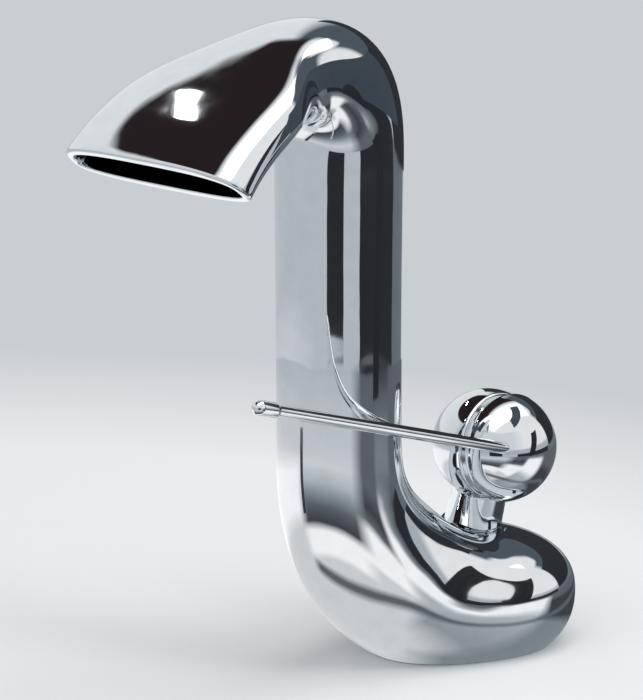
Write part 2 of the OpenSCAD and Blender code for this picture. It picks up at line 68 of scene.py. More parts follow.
back = Vector((math.sin(VIEW_AZIMUTH) * math.cos(VIEW_HEIGHT),
               -math.cos(VIEW_AZIMUTH) * math.cos(VIEW_HEIGHT), math.sin(VIEW_HEIGHT)))
right = Vector((math.cos(VIEW_AZIMUTH), math.sin(VIEW_AZIMUTH), 0))
upward = back.cross(right)
camera_data = bpy.data.cameras.new("camera")
camera_data.sensor_width = SENSOR
camera_data.sensor_fit = "HORIZONTAL"
camera_data.lens = FOCAL_PIXELS * SENSOR / PICTURE_WIDTH
camera_data.clip_end = CLIP_END
camera = bpy.data.objects.new("camera", camera_data)
bpy.context.scene.collection.objects.link(camera)
turn = Matrix((right, upward, back)).transposed().to_4x4()
camera.matrix_world = Matrix.Translation(right * ACROSS + upward * UP + back * VIEW_DISTANCE) @ turn
bpy.context.scene.camera = camera
bpy.context.scene.view_settings.view_transform = "Standard"
print("lens", round(camera_data.lens, 1), "mm")

# %% [markdown]
# ## Helpers for nodes, colours and finishes
# Every material below is built with the same small function, which adds a node, sets its values and
# joins its inputs. Colours are written as they look on a screen and turned to linear light here. A
# finish is never quite even, so one function lets a pattern vary both its colour and its sheen, and
# the plainest finishes vary in soft patches.


# %% Node, colour and finish helpers
def linear(hex_colour):
    channels = [int(hex_colour[i:i + 2], 16) / 255 for i in (1, 3, 5)]
    return [c / 12.92 if c <= 0.04045 else ((c + 0.055) / 1.055) ** 2.4 for c in channels] + [1.0]


def add_node(tree, kind, settings=None, values=None, links=None, stops=None):
    node = tree.nodes.new(kind)
    for name, value in (settings or {}).items():
        setattr(node, name, value)
    for name, value in (values or {}).items():
        node.inputs[name].default_value = value
    for name, source in (links or {}).items():
        tree.links.new(source, node.inputs[name])
    for number, (position, colour) in enumerate(stops or []):
        elements = node.color_ramp.elements
        stop = elements[number] if number < 2 else elements.new(position)
        stop.position = position
        stop.color = linear(colour)
    return node


def new_material(name, colour, roughness, metallic=0.0, **shader_values):
    material = bpy.data.materials.new(name)
    material.use_nodes = True
    tree = material.node_tree
    shader = tree.nodes["Principled BSDF"]
    shader.inputs["Base Color"].default_value = linear(colour)
    shader.inputs["Roughness"].default_value = roughness
    shader.inputs["Metallic"].default_value = metallic
    for socket, value in shader_values.items():
        shader.inputs[socket.replace("_", " ")].default_value = value
    place = add_node(tree, "ShaderNodeTexCoord").outputs["Object"]
    return material, tree, shader, place


def vary_finish(tree, shader, pattern, stops, roughness, over=(0.0, 1.0), sheen_pattern=None):
    colours = add_node(tree, "ShaderNodeValToRGB", links={"Fac": pattern}, stops=stops)
    sheen = add_node(tree, "ShaderNodeMapRange", links={"Value": sheen_pattern or pattern}, values={
        "From Min": over[0], "From Max": over[1], "To Min": roughness[0], "To Max": roughness[1]})
    tree.links.new(colours.outputs["Color"], shader.inputs["Base Color"])
    tree.links.new(sheen.outputs["Result"], shader.inputs["Roughness"])


def pitch_scale(spacing_mm):
    return 1.0 / (spacing_mm * MM)


def cloudy_finish(name, colour, roughness, patch_mm, detail, stops, sheen, metallic=0.0, **shader_values):
    material, tree, shader, place = new_material(name, colour, roughness, metallic, **shader_values)
    cloud = add_node(tree, "ShaderNodeTexNoise", values={"Scale": pitch_scale(patch_mm), "Detail": detail},
                     links={"Vector": place}).outputs["Fac"]
    vary_finish(tree, shader, cloud, stops, sheen)
    return material


print("middle grey is", round(linear("#808080")[0], 3), "in linear light")

# %% [markdown]
# ## Chrome plate
# The casting is brass, ground, buffed and plated with nickel and a very thin bright chrome. The eye
# sees an almost perfect mirror with a cold tint. Buffing leaves the surface a little wavy, about
# 15 mm from crest to crest, and handling leaves a faint film that dulls it in patches.

# %% Chrome plate
BUFFING_WAVE_MM = 15
BUFFING_HEIGHT_MM = 0.4
FILM_PATCH_MM = 6

chrome, tree, shader, place = new_material("bright_chrome_plate", "#dcdfe2", 0.045, 1.0)
film = add_node(tree, "ShaderNodeTexNoise", values={"Scale": pitch_scale(FILM_PATCH_MM), "Detail": 4.0},
                links={"Vector": place}).outputs["Fac"]
vary_finish(tree, shader, film, [(0.35, "#dfe3e6"), (0.75, "#d9dde1")], (0.03, 0.055), over=(0.35, 0.7))
wave = add_node(tree, "ShaderNodeTexNoise", values={"Scale": pitch_scale(BUFFING_WAVE_MM), "Detail": 1.0},
                links={"Vector": place})
swell = add_node(tree, "ShaderNodeBump", values={"Strength": 0.25, "Distance": BUFFING_HEIGHT_MM * MM},
                 links={"Height": wave.outputs["Fac"]})
tree.links.new(swell.outputs["Normal"], shader.inputs["Normal"])
print("made", chrome.name)

# %% [markdown]
# ## Metals under the plate and below the foot
# Bare brass is turned, so rings run round it. Real turning marks are finer than a pixel, so they are
# drawn coarser and faint. Copper tube is drawn through a die, so its lines run along it. The steel
# stud and plate are zinc plated: dull, slightly blue, with a fine crystal grain. Blackened steel
# carries a thin, cloudy oxide.

# %% Brass, copper, zinc-plated steel and blackened steel
TURNING_MM = 3.77
TOOL_MARK_MM = 0.03
BRASS_TINT_MM = 5
DRAWN_LINE_MM = 0.5
DRAWN_STRETCH = 0.06
ZINC_GRAIN_MM = 0.8
OXIDE_PATCH_MM = 1.2
RADIANS_OF_WAVE = 20

brass, tree, shader, place = new_material("turned_brass", "#c8a35a", 0.3, 1.0)
ring_scale = 2 * math.pi / (RADIANS_OF_WAVE * TURNING_MM * MM)
rings = add_node(tree, "ShaderNodeTexWave", {"bands_direction": "Z"},
                 {"Scale": ring_scale, "Distortion": 0.6, "Detail": 2.0}, {"Vector": place}).outputs["Fac"]
tint = add_node(tree, "ShaderNodeTexNoise", values={"Scale": pitch_scale(BRASS_TINT_MM), "Detail": 3.0},
                links={"Vector": place}).outputs["Fac"]
vary_finish(tree, shader, tint, [(0.3, "#d2ae66"), (0.75, "#b48d48")], (0.24, 0.38), sheen_pattern=rings)
tool_marks = add_node(tree, "ShaderNodeBump", values={"Strength": 0.3, "Distance": TOOL_MARK_MM * MM},
                      links={"Height": rings})
tree.links.new(tool_marks.outputs["Normal"], shader.inputs["Normal"])

copper, tree, shader, place = new_material("drawn_copper_tube", "#c07a52", 0.28, 1.0)
stretched = add_node(tree, "ShaderNodeMapping", values={"Scale": (1.0, 1.0, DRAWN_STRETCH)},
                     links={"Vector": place}).outputs["Vector"]
lines = add_node(tree, "ShaderNodeTexNoise", values={"Scale": pitch_scale(DRAWN_LINE_MM), "Detail": 3.0},
                 links={"Vector": stretched}).outputs["Fac"]
vary_finish(tree, shader, lines, [(0.3, "#cc8860"), (0.7, "#a9663f")], (0.2, 0.36))

zinc, tree, shader, place = new_material("zinc_plated_steel", "#b8bcc2", 0.35, 1.0)
grain = add_node(tree, "ShaderNodeTexVoronoi", values={"Scale": pitch_scale(ZINC_GRAIN_MM)},
                 links={"Vector": place}).outputs["Distance"]
vary_finish(tree, shader, grain, [(0.1, "#c3c7cc"), (0.8, "#a3a8b0")], (0.3, 0.45))

black_steel = cloudy_finish("blackened_steel", "#3a3b3f", 0.4, OXIDE_PATCH_MM, 4.0,
                            [(0.3, "#2c2d30"), (0.7, "#4a4b50")], (0.32, 0.5), metallic=1.0)
print("made", brass.name, copper.name, zinc.name, black_steel.name)

# %% [markdown]
# ## Rubber, ceramic and plastics
# Seals are moulded rubber with a matt skin. The two valve discs are lapped alumina, which is hard,
# cream white and faintly speckled. The cartridge shell, rotor and carrier are moulded plastics.

# %% Rubber, ceramic and plastics
RUBBER_GRAIN_MM = 0.5
ALUMINA_SPECK_MM = 0.7
FLOW_MARK_MM = 2.5

rubber = cloudy_finish("moulded_rubber", "#1c1c1e", 0.65, RUBBER_GRAIN_MM, 3.0,
                       [(0.3, "#161618"), (0.75, "#29292c")], (0.55, 0.8), IOR=1.5)
ceramic = cloudy_finish("lapped_alumina", "#f1eee4", 0.12, ALUMINA_SPECK_MM, 5.0,
                        [(0.45, "#f5f2ea"), (0.8, "#e3dfd2")], (0.08, 0.2), IOR=1.77)


def moulded_plastic(name, light, deep):
    return cloudy_finish(name, light, 0.4, FLOW_MARK_MM, 3.0, [(0.35, light), (0.75, deep)], (0.34, 0.5),
                         IOR=1.48)


white_plastic = moulded_plastic("white_moulded_acetal", "#e8e7e2", "#d9d8d1")
blue_plastic = moulded_plastic("blue_moulded_acetal", "#3f72b2", "#33609b")
grey_plastic = moulded_plastic("grey_moulded_nylon", "#3a3a3e", "#2e2e31")
print("made", rubber.name, ceramic.name, white_plastic.name, blue_plastic.name, grey_plastic.name)

# %% [markdown]
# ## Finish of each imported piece
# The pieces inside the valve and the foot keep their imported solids. Each takes the material of its
# slot in the record, so the inside of the mixer is finished as carefully as the outside.

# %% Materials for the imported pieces
SLOT_FINISH = {"chrome": chrome, "brass": brass, "copper_tube": copper, "steel": zinc,
               "dark_steel": black_steel, "rubber": rubber, "ceramic": ceramic,
               "white_plastic": white_plastic, "blue_plastic": blue_plastic, "grey_plastic": grey_plastic}
slot_of = {row["node"]: row["material_slot"] for row in frame["record"]["subparts"]}
for node_name, node_object in frame["nodes"].items():
    node_object.data.materials.clear()
    node_object.data.materials.append(SLOT_FINISH[slot_of[node_name]])
print("finished", len(frame["nodes"]), "packed pieces")

# %% [markdown]
# ## Sizes shared with the solids
# These are the driving sizes of the mixer in millimetres, the same ones that shape the solids. The
# valve axis runs along X at VALVE_Z, and the neck leans toward the handle.

# %% Driving sizes in millimetres
COLUMN_OFFSET = 62.0
CREST_Z = 204.0
COLUMN_R = 20.3
COLUMN_TOP_R = 21.0
HEEL_BEND_R = 56.0
CREST_BEND_R = 26.0
SPOUT_BEND_R = 72.5
MOUTH_ANGLE = 50.5
MOUTH_W = 78.5
FOOT_W = 71.0
FOOT_TAIL = 36.0
BODY_WALL = 3.0
FOOT_AXIS_Z = 17.5
FOOT_TOP = 22.0
FOOT_UNDER = 25.5
VALVE_Z = 68.5
NECK_LEAN = math.radians(13)
NECK_D = 19.0
HOUSING_X = 8.5
HOUSING_D = 36.4
PIVOT_X = 14.5
SHOULDER_X = 13.0
NOSE_END_X = 17.0
NUT_FACE_X = 21.0
CAP_R = 18.4
CAP_WALL = 1.5
SHELL_GAP = 0.35
CAP_RIM_ANGLE = math.radians(80)
LEVER_LENGTH = 142.0
LEVER_D = 4.0
LEVER_RISE = math.radians(16.4)
LEVER_H = 11.5
DRAWN_OPENING = 4.0
LEVER_TRAVEL = 22.0
HALF_TRAVEL = math.radians(LEVER_TRAVEL / 2)
STEM_TILT = math.radians(DRAWN_OPENING - LEVER_TRAVEL / 2)
print("valve axis", VALVE_Z, "mm above the underside of the foot")

# %% [markdown]
# ## The cast spout as one sweep
# The centre line is foot, heel bend, straight column, crest bend and spout bend. At each length the
# section has a half width, a height over the line, a depth under it and a fullness. Between stations
# the sizes follow smooth curves. The solids use a few dozen rings of this rule; here it is drawn with
# hundreds, because chrome shows every facet.

# %% Centre line and sections
FOOT_LEN = COLUMN_OFFSET - HEEL_BEND_R
HEEL_LEN = HEEL_BEND_R * math.pi / 2
COLUMN_LEN = CREST_Z - FOOT_AXIS_Z - HEEL_BEND_R - CREST_BEND_R
CREST_LEN = CREST_BEND_R * math.pi / 2
SPOUT_LEN = SPOUT_BEND_R * math.radians(MOUTH_ANGLE)
HEEL_END = FOOT_LEN + HEEL_LEN
COLUMN_END = HEEL_END + COLUMN_LEN
CREST_END = COLUMN_END + CREST_LEN
SPOUT_END = CREST_END + SPOUT_LEN

STATIONS = [
    (-FOOT_TAIL, FOOT_W / 2, FOOT_TOP, FOOT_UNDER, 2.3),
    (0.0, FOOT_W / 2, FOOT_TOP, FOOT_UNDER, 2.3),
    (FOOT_LEN + HEEL_LEN * 0.45, 24.5, 27.0, 23.0, 2.1),
    (HEEL_END + COLUMN_LEN * 0.05, COLUMN_R, COLUMN_R, COLUMN_R, 2.0),
    (COLUMN_END, COLUMN_TOP_R, COLUMN_TOP_R, COLUMN_TOP_R, 2.0),
    (COLUMN_END + CREST_LEN / 2, 22.6, 22.6, 19.0, 2.1),
    (CREST_END, 20.9, 15.5, 16.0, 2.3),
    (CREST_END + SPOUT_LEN / 2, MOUTH_W * 0.45, 9.8, 12.0, 2.8),
    (SPOUT_END, MOUTH_W / 2, 11.2, 8.0, 3.0)]
LAST = len(STATIONS) - 1


def on_line(s):
    if s < FOOT_LEN:
        return -s, FOOT_AXIS_Z, 0.0
    if s < HEEL_END:
        a = (s - FOOT_LEN) / HEEL_BEND_R
        return -FOOT_LEN - HEEL_BEND_R * math.sin(a), FOOT_AXIS_Z + HEEL_BEND_R * (1 - math.cos(a)), a
    if s < COLUMN_END:
        return -COLUMN_OFFSET, FOOT_AXIS_Z + HEEL_BEND_R + s - HEEL_END, math.pi / 2
    if s < CREST_END:
        a = (s - COLUMN_END) / CREST_BEND_R
        return (-COLUMN_OFFSET - CREST_BEND_R * (1 - math.cos(a)),
                CREST_Z - CREST_BEND_R * (1 - math.sin(a)), math.pi / 2 - a)
    a = (s - CREST_END) / SPOUT_BEND_R
    return (-COLUMN_OFFSET - CREST_BEND_R - SPOUT_BEND_R * math.sin(a),
            CREST_Z - SPOUT_BEND_R * (1 - math.cos(a)), -a)


def rate(i, c):
    return (STATIONS[i + 1][c] - STATIONS[i][c]) / (STATIONS[i + 1][0] - STATIONS[i][0])


def slope(i, c):
    if i == 0:
        return rate(0, c)
    if i == LAST:
        return rate(LAST - 1, c)
    p, q = rate(i - 1, c), rate(i, c)
    return 0.0 if p * q <= 0 else 2 * p * q / (p + q)


def section(s):
    i = 0
    while i < LAST - 1 and s >= STATIONS[i + 1][0]:
        i += 1
    h = STATIONS[i + 1][0] - STATIONS[i][0]
    t = min(1.0, max(0.0, (s - STATIONS[i][0]) / h))
    return [(2 * t ** 3 - 3 * t ** 2 + 1) * STATIONS[i][c] + (t ** 3 - 2 * t ** 2 + t) * h * slope(i, c)
            + (3 * t ** 2 - 2 * t ** 3) * STATIONS[i + 1][c] + (t ** 3 - t ** 2) * h * slope(i + 1, c)
            for c in range(1, 5)]


def bend(v, p):
    return math.copysign(abs(v) ** (2 / p), v)


def ring(s, count, inset=0.0, close=1.0):
    y, z, angle = on_line(s)
    half_width, over, under, fullness = section(s)
    points = []
    for i in range(count):
        a = i * 2 * math.pi / count
        x = (half_width - inset) * close * bend(math.cos(a), fullness)
        n = ((over if math.sin(a) >= 0 else under) - inset) * close * bend(math.sin(a), fullness)
        points.append(Vector((x, y + math.sin(angle) * n, z + math.cos(angle) * n)))
    return points


print("centre line", round(SPOUT_END + FOOT_TAIL, 1), "mm long")

# %% [markdown]
# ## Rings of the outer skin and the waterway
# The rings run from the tail of the foot to the mouth, roll over the lip, and go back up inside as
# the waterway. A short average along the line takes the kinks out where a straight meets a bend, as
# hand grinding does on the real casting.

# %% Build the rings
AROUND = 144
STEP_MM = 1.3
LIP_R = 1.3
GRIND_MM = 5.0
GRIND_REACH = 3 * GRIND_MM
TAIL_RINGS = 28
LIP_ARC_STEPS = 6
INNER_LIP_R = 0.5
INNER_LIP_STEPS = 4
WATER_STEP_MM = 2.4
WATER_START = FOOT_LEN + HEEL_LEN * 0.26
WATER_DOME = 7.0
WATER_FLOOR = 5.0
WATER_SHORT = 0.8
KEEP_TAIL = 2.0
KEEP_MOUTH = 4.0
TAIL_POINT = 0.01
DOME_POINT = 0.02


def stretch(start, end, step=STEP_MM):
    count = max(2, round((end - start) / step))
    return [start + (end - start) * k / count for k in range(count)]


def ground(rings, lengths, keep_before, keep_after):
    smoothed = []
    for k, s in enumerate(lengths):
        near = [j for j, other in enumerate(lengths) if abs(other - s) < GRIND_REACH]
        edge = min(s - keep_before, keep_after - s) / GRIND_REACH
        if edge <= 0:
            smoothed.append(rings[k])
            continue
        width = GRIND_MM * min(1.0, edge)
        weights = [math.exp(-0.5 * ((lengths[j] - s) / width) ** 2) for j in near]
        total = sum(weights)
        smoothed.append([sum((rings[j][i] * (w / total) for j, w in zip(near, weights)), Vector())
                         for i in range(AROUND)])
    return smoothed


def quarter(steps, first=0):
    return [math.pi / 2 * k / steps for k in range(first, steps + 1)]


tail = [ring(-FOOT_TAIL * math.cos(a), AROUND, 0, max(TAIL_POINT, math.sin(a)))
        for a in quarter(TAIL_RINGS)[:-1]]
lengths = stretch(0.0, SPOUT_END - LIP_R)
outside = ground([ring(s, AROUND) for s in lengths], lengths, KEEP_TAIL, SPOUT_END - KEEP_MOUTH)
lip = [ring(SPOUT_END - LIP_R + LIP_R * math.sin(a), AROUND, LIP_R * (1 - math.cos(a)))
       for a in quarter(LIP_ARC_STEPS)]
lip += [ring(SPOUT_END - INNER_LIP_R * (1 - math.cos(a)), AROUND,
             BODY_WALL - INNER_LIP_R + INNER_LIP_R * math.sin(a)) for a in quarter(INNER_LIP_STEPS)]
inside_lengths = stretch(WATER_START, SPOUT_END - WATER_SHORT, WATER_STEP_MM)[::-1]
inside = [ring(s, AROUND, BODY_WALL) for s in inside_lengths]
inside += [ring(WATER_START - WATER_DOME * math.sin(a), AROUND, BODY_WALL, max(DOME_POINT, math.cos(a)))
           for a in quarter(LIP_ARC_STEPS, 1)]
for water_ring in inside:
    for point in water_ring:
        point.z = max(point.z, WATER_FLOOR)
spout_rings = tail + outside + lip + inside
print("rings", len(spout_rings), "of", AROUND, "points")

# %% [markdown]
# ## Helpers for meshes
# Every piece starts as points and faces. Doubled points are merged and the faces turned outwards, so
# that the metal shades right. Faces that meet at more than a set angle keep a sharp edge.
# Holes are cut as a drill or cutter would, by a solid that is taken away.


# %% Mesh helpers
WELD = 1e-7
SMOOTH_ANGLE = math.radians(30)


def mesh_from(name, points_mm, faces, material):
    mesh = bpy.data.meshes.new(name)
    mesh.from_pydata([Vector(p) * MM for p in points_mm], [], faces)
    mesh.materials.append(material)
    mesh.validate()
    piece = bpy.data.objects.new(name, mesh)
    bpy.context.scene.collection.objects.link(piece)
    return piece


def skin_faces(ring_count, around):
    faces = [tuple(range(around))[::-1]]
    for k in range(ring_count - 1):
        for i in range(around):
            j = (i + 1) % around
            faces.append((k * around + i, k * around + j, (k + 1) * around + j, (k + 1) * around + i))
    faces.append(tuple((ring_count - 1) * around + i for i in range(around)))
    return faces


def face_outward(piece):
    shape = bmesh.new()
    shape.from_mesh(piece.data)
    bmesh.ops.remove_doubles(shape, verts=shape.verts, dist=WELD)
    bmesh.ops.recalc_face_normals(shape, faces=shape.faces)
    shape.to_mesh(piece.data)
    shape.free()


def smooth_by_angle(piece, angle=SMOOTH_ANGLE):
    piece.data.shade_smooth()
    piece.data.set_sharp_from_angle(angle=angle)


def cut_with(piece, cutter):
    modifier = piece.modifiers.new("cut", "BOOLEAN")
    modifier.operation = "DIFFERENCE"
    modifier.solver = "MANIFOLD"
    modifier.object = cutter
    bpy.context.view_layer.update()
    result = bpy.data.meshes.new_from_object(piece.evaluated_get(bpy.context.evaluated_depsgraph_get()))
    piece.modifiers.clear()
    piece.data = result
    bpy.data.objects.remove(cutter)


def finish_shape(piece):
    smooth_by_angle(piece)
    shape = bmesh.new()
    shape.from_mesh(piece.data)
    open_edges = sum(1 for edge in shape.edges if not edge.is_manifold)
    volume = shape.calc_volume(signed=True) / MM ** 3
    shape.free()
    print(piece.name, "faces", len(piece.data.polygons), "open edges", open_edges,
          "volume", round(volume), "mm3")


print("points closer than", round(WELD / MM, 5), "mm are merged")

# %% [markdown]
# ## Turned pieces
# Most of the valve is turned on a lathe, so one function revolves a profile of (radius, height)
# points about an axis. Each profile has its own small edge rounds, because a sharp chrome edge
# never shows a highlight.

# %% Lathe helper and the frames of the valve
ON_AXIS = 1e-6


def lathe(name, profile, frame_matrix, material, around=128):
    points = []
    rows = []
    for radius, height in profile:
        if radius < ON_AXIS:
            rows.append([len(points)])
            points.append(frame_matrix @ Vector((0, 0, height)))
            continue
        rows.append(list(range(len(points), len(points) + around)))
        for i in range(around):
            a = i * 2 * math.pi / around
            points.append(frame_matrix @ Vector((radius * math.cos(a), radius * math.sin(a), height)))
    faces = []
    closed = rows[0] if len(rows[0]) > 1 and len(rows[-1]) > 1 else None
    pairs = list(zip(rows, rows[1:])) + ([(rows[-1], rows[0])] if closed else [])
    for low, high in pairs:
        for i in range(around):
            j = (i + 1) % around
            corners = [low[i % len(low)], low[j % len(low)], high[j % len(high)], high[i % len(high)]]
            faces.append(tuple(dict.fromkeys(corners)))
    piece = mesh_from(name, points, faces, material)
    face_outward(piece)
    return piece


def arc(centre_r, centre_h, radius, start_deg, end_deg, steps):
    return [(centre_r + radius * math.cos(math.radians(start_deg + (end_deg - start_deg) * k / steps)),
             centre_h + radius * math.sin(math.radians(start_deg + (end_deg - start_deg) * k / steps)))
            for k in range(steps + 1)]


AT_VALVE = Matrix.Translation((0, 0, VALVE_Z)) @ Matrix.Rotation(math.pi / 2, 4, "Y")
AT_NECK = Matrix.Translation((HOUSING_X, 0, VALVE_Z)) @ Matrix.Rotation(NECK_LEAN, 4, "Y")
AT_PIVOT = (Matrix.Translation((PIVOT_X, 0, VALVE_Z)) @ Matrix.Rotation(-math.pi / 2 - LEVER_RISE, 4, "X")
            @ Matrix.Rotation(math.pi / 2, 4, "Y"))
AT_HANDLE = AT_PIVOT @ Matrix.Rotation(-STEM_TILT, 4, "Y")
AT_LEVER = (AT_HANDLE @ Matrix.Translation((0, 0, LEVER_H))
            @ Matrix.Rotation(math.pi / 2 - HALF_TRAVEL, 4, "Y"))
lever_tip = AT_LEVER @ Vector((0, 0, LEVER_LENGTH))
print("lever tip at", [round(c, 1) for c in lever_tip])

# %% [markdown]
# ## Spout casting: cut the seats
# The smooth skin is closed, so the seats are cut out of it as on the machine: the flat foot, the
# recess for the manifold, the gasket groove, the leaning socket with its spot face, and the hole of
# the set screw behind.

# %% Spout casting
RECESS_R = 17.0
RECESS_H = 14.0
GASKET_IN = 19.0
GASKET_OUT = 23.0
GASKET_H = 1.6
SPIGOT_STEP = 1.0
SPIGOT_R = NECK_D / 2 - SPIGOT_STEP
SEAT_GAP = 0.15
SOCKET_R = SPIGOT_R + SEAT_GAP
NECK_FOOT_Z = 38.0
SPIGOT_END_Z = 19.5
NECK_FOOT = (VALVE_Z - NECK_FOOT_Z) / math.cos(NECK_LEAN)
SPIGOT_END = (VALVE_Z - SPIGOT_END_Z) / math.cos(NECK_LEAN)
GRUB_R = 2.5
COLLAR_WIDTH = 1.7
COLLAR_R = NECK_D / 2 + COLLAR_WIDTH
COLLAR_H = 2.2
RECESS_CHAMFER = 0.6
SOCKET_DEEPER = 9
SPOT_FACE_H = 14
SPOT_FACE_R = COLLAR_R + SEAT_GAP
GRUB_HOLE = 50
GRUB_UP = 3.4
GRUB_AT = SPIGOT_END - GRUB_UP
CUT_BELOW = 1
DEEP = 60.0
WORLD = Matrix.Identity(4)

spout = mesh_from("spout_casting", [p for r in spout_rings for p in r],
                  skin_faces(len(spout_rings), AROUND), chrome)
face_outward(spout)
under = lathe("cut_foot", [(0, -DEEP), (2 * DEEP, -DEEP), (2 * DEEP, 0), (0, 0)], WORLD, chrome)
recess = lathe("cut_recess", [(0, -CUT_BELOW), (RECESS_R + RECESS_CHAMFER, -CUT_BELOW),
                              (RECESS_R + RECESS_CHAMFER, 0), (RECESS_R, RECESS_CHAMFER),
                              (RECESS_R, RECESS_H), (0, RECESS_H)], WORLD, chrome)
groove = lathe("cut_gasket", [(GASKET_IN, -CUT_BELOW), (GASKET_OUT, -CUT_BELOW),
                              (GASKET_OUT, GASKET_H), (GASKET_IN, GASKET_H)], WORLD, chrome)
socket = lathe("cut_socket", [(0, -SPIGOT_END - SOCKET_DEEPER), (SOCKET_R, -SPIGOT_END - SOCKET_DEEPER),
                              (SOCKET_R, -NECK_FOOT), (SPOT_FACE_R, -NECK_FOOT),
                              (SPOT_FACE_R, -NECK_FOOT + SPOT_FACE_H), (0, -NECK_FOOT + SPOT_FACE_H)],
               AT_NECK, chrome)
at_grub = AT_NECK @ Matrix.Translation((0, 0, -GRUB_AT)) @ Matrix.Rotation(-math.pi / 2, 4, "X")
grub_hole = lathe("cut_grub", [(0, 0), (GRUB_R, 0), (GRUB_R, GRUB_HOLE), (0, GRUB_HOLE)],
                  at_grub, chrome, 48)
for cutter in (under, recess, groove, socket, grub_hole):
    cut_with(spout, cutter)
finish_shape(spout)

# %% [markdown]
# ## Ball housing, nose, neck and collar
# Housing, nose and neck are one casting. The ball and its nose are turned about the valve axis. The
# neck is turned about its own leaning axis and flares into the ball with a small fillet.

# %% Valve housing
BALL_R = HOUSING_D / 2
NOSE_R = CAP_R - CAP_WALL - SHELL_GAP
EDGE_R = 0.5
FILLET_R = 1.6
FACE_GAP = 0.05
FIT_GAP = 0.02
NOSE_LAND = 2.0
NUT_THREAD_R = 14.0
NUT_THREAD_X = 11.5
CARTRIDGE_R = 12.65
CARTRIDGE_X = 3.0
SPIGOT_CHAMFER = 0.6
NECK_INSIDE = 0.72
NECK_TUCK = 1.5
COLLAR_ROUND = 0.8
COLLAR_CHAMFER = 0.3


def ball_profile():
    shoulder_r = math.sqrt(BALL_R ** 2 - (SHOULDER_X - HOUSING_X) ** 2)
    turn_deg = math.degrees(math.asin((SHOULDER_X - HOUSING_X) / BALL_R))
    points = arc(0.0, HOUSING_X, BALL_R, -90, turn_deg - 2, 80)
    points[0] = (0.0, HOUSING_X - BALL_R)
    points += arc(shoulder_r - EDGE_R, SHOULDER_X - EDGE_R, EDGE_R, 20, 90, 6)
    nose_start = SHOULDER_X + FIT_GAP
    first = math.degrees(math.asin((nose_start - PIVOT_X) / NOSE_R))
    final = math.degrees(math.asin((NOSE_END_X - FACE_GAP - PIVOT_X) / NOSE_R))
    points += arc(0.0, PIVOT_X, NOSE_R, first, final, 12)
    points += [(NOSE_R - NOSE_LAND, NOSE_END_X), (NUT_THREAD_R, NOSE_END_X), (NUT_THREAD_R, NUT_THREAD_X),
               (CARTRIDGE_R, NUT_THREAD_X), (CARTRIDGE_R, CARTRIDGE_X), (0.0, CARTRIDGE_X)]
    return points


def neck_profile():
    neck_r = NECK_D / 2
    reach = BALL_R + FILLET_R
    centre_r = neck_r + FILLET_R
    centre_h = -math.sqrt(reach ** 2 - centre_r ** 2)
    touch = math.degrees(math.atan2(-centre_h, -centre_r))
    points = [(0.0, -SPIGOT_END), (SPIGOT_R - SPIGOT_CHAMFER, -SPIGOT_END),
              (SPIGOT_R, -SPIGOT_END + SPIGOT_CHAMFER), (SPIGOT_R, -NECK_FOOT), (neck_r, -NECK_FOOT),
              (neck_r, centre_h)]
    points += arc(centre_r, centre_h, FILLET_R, 180, touch, 12)[1:]
    points += [(neck_r - NECK_TUCK, -BALL_R * NECK_INSIDE), (0.0, -BALL_R * NECK_INSIDE)]
    return points


ball = lathe("valve_housing_ball", ball_profile(), AT_VALVE, chrome, 160)
neck = lathe("valve_neck", neck_profile(), AT_NECK, chrome, 128)
finish_shape(ball)
finish_shape(neck)
collar_inside = NECK_D / 2 + FIT_GAP
collar_top = -NECK_FOOT + COLLAR_H
collar_profile = [(collar_inside, -NECK_FOOT), (COLLAR_R, -NECK_FOOT)]
collar_profile += arc(COLLAR_R - COLLAR_ROUND, collar_top - COLLAR_ROUND, COLLAR_ROUND, 0, 90, 8)
collar_profile += [(NECK_D / 2 + COLLAR_CHAMFER, collar_top), (collar_inside, collar_top - COLLAR_CHAMFER)]
collar = lathe("neck_collar_ring", collar_profile, AT_NECK, chrome)
finish_shape(collar)

# %% [markdown]
# ## Retaining nut
# The nut screws into the nose and holds the cartridge down. Its domed face carries the round of the
# nose on to the front, so it is turned with the same radius.

# %% Retaining nut
NUT_OUTER_R = 13.98
NUT_FOOT_R = 13.7
NUT_RIM_R = NOSE_R * 0.98
NUT_SKIRT_R = 11.2
NUT_MOUTH_R = 8.0
NUT_BORE_R = 7.5
NUT_BOTTOM_X = 12.0
NUT_CHAMFER = 0.3
NUT_LIP_X = 18.8

face_start = math.degrees(math.asin((NOSE_END_X + FACE_GAP - PIVOT_X) / NOSE_R))
face_end = math.degrees(math.asin((NUT_FACE_X - PIVOT_X) / NOSE_R))
nut_profile = [(NUT_OUTER_R, NUT_BOTTOM_X + NUT_CHAMFER), (NUT_OUTER_R, NOSE_END_X),
               (NUT_RIM_R, NOSE_END_X)]
nut_profile += arc(0.0, PIVOT_X, NOSE_R, face_start, face_end, 12)
nut_profile += [(NUT_MOUTH_R, NUT_FACE_X), (NUT_BORE_R, NUT_FACE_X - NUT_MOUTH_R + NUT_BORE_R),
                (NUT_BORE_R, NUT_LIP_X), (NUT_SKIRT_R, NUT_LIP_X), (NUT_SKIRT_R, NUT_BOTTOM_X),
                (NUT_FOOT_R, NUT_BOTTOM_X)]
nut = lathe("retaining_nut_ring", nut_profile, AT_VALVE, chrome)
finish_shape(nut)

# %% [markdown]
# ## Handle cap
# The cap is a thin turned shell with a rolled rim. Its hub grips the stem, and a stepped hole is
# drilled through shell and hub for the lever. All of it is one turned profile and one cut.

